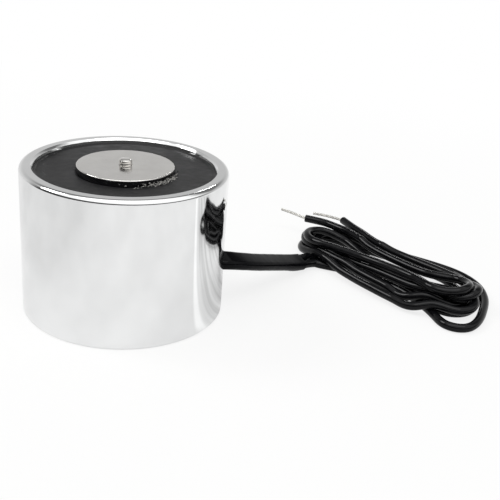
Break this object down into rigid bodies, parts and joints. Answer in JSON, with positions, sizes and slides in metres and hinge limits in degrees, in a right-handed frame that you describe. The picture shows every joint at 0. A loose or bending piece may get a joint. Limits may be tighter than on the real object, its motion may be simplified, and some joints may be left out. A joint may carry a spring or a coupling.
{
  "type": "holding electromagnet",
  "caption": "Round pot electromagnet with a plated steel cup, central pole, potted coil and two free leads in a sleeve.",
  "frame": {"origin": "centre of the cup's base, on the surface it stands on", "axes": "+Z along the cup's axis, towards the holding face; the leads leave the cup's wall near +X"},
  "size_m": [0.0747, 0.0502, 0.0229],
  "materials": {
    "chrome_plate": "polished chrome plate on soft iron",
    "nickel_plate": "ground and nickel-plated soft iron",
    "bobbin_nylon": "moulded nylon",
    "enamelled_copper": "enamelled copper wire",
    "polyester_tape": "polyester tape",
    "tinned_conductor": "tinned copper strands",
    "black_pvc": "glossy black flexible PVC",
    "black_sleeve": "glossy black shrink sleeve",
    "potting_resin": "satin black potting resin"
  },
  "bodies": {
    "root": {"cup": "chrome_plate", "pole_core": "nickel_plate", "centre_pin": "nickel_plate", "bobbin": "bobbin_nylon", "winding": "enamelled_copper", "winding_tape": "polyester_tape", "magnet_wire_start": "enamelled_copper", "magnet_wire_finish": "enamelled_copper", "solder_joint_a": "tinned_conductor", "solder_joint_b": "tinned_conductor", "joint_sleeve_a": "black_pvc", "joint_sleeve_b": "black_pvc", "potting_resin": "potting_resin", "lead_sleeve": "black_sleeve", "lead_a": "black_pvc", "lead_b": "black_pvc", "lead_hank": "black_pvc", "lead_a_end": "black_pvc", "lead_b_end": "black_pvc", "conductor_a": "tinned_conductor", "conductor_b": "tinned_conductor"}
  },
  "joints": []
}
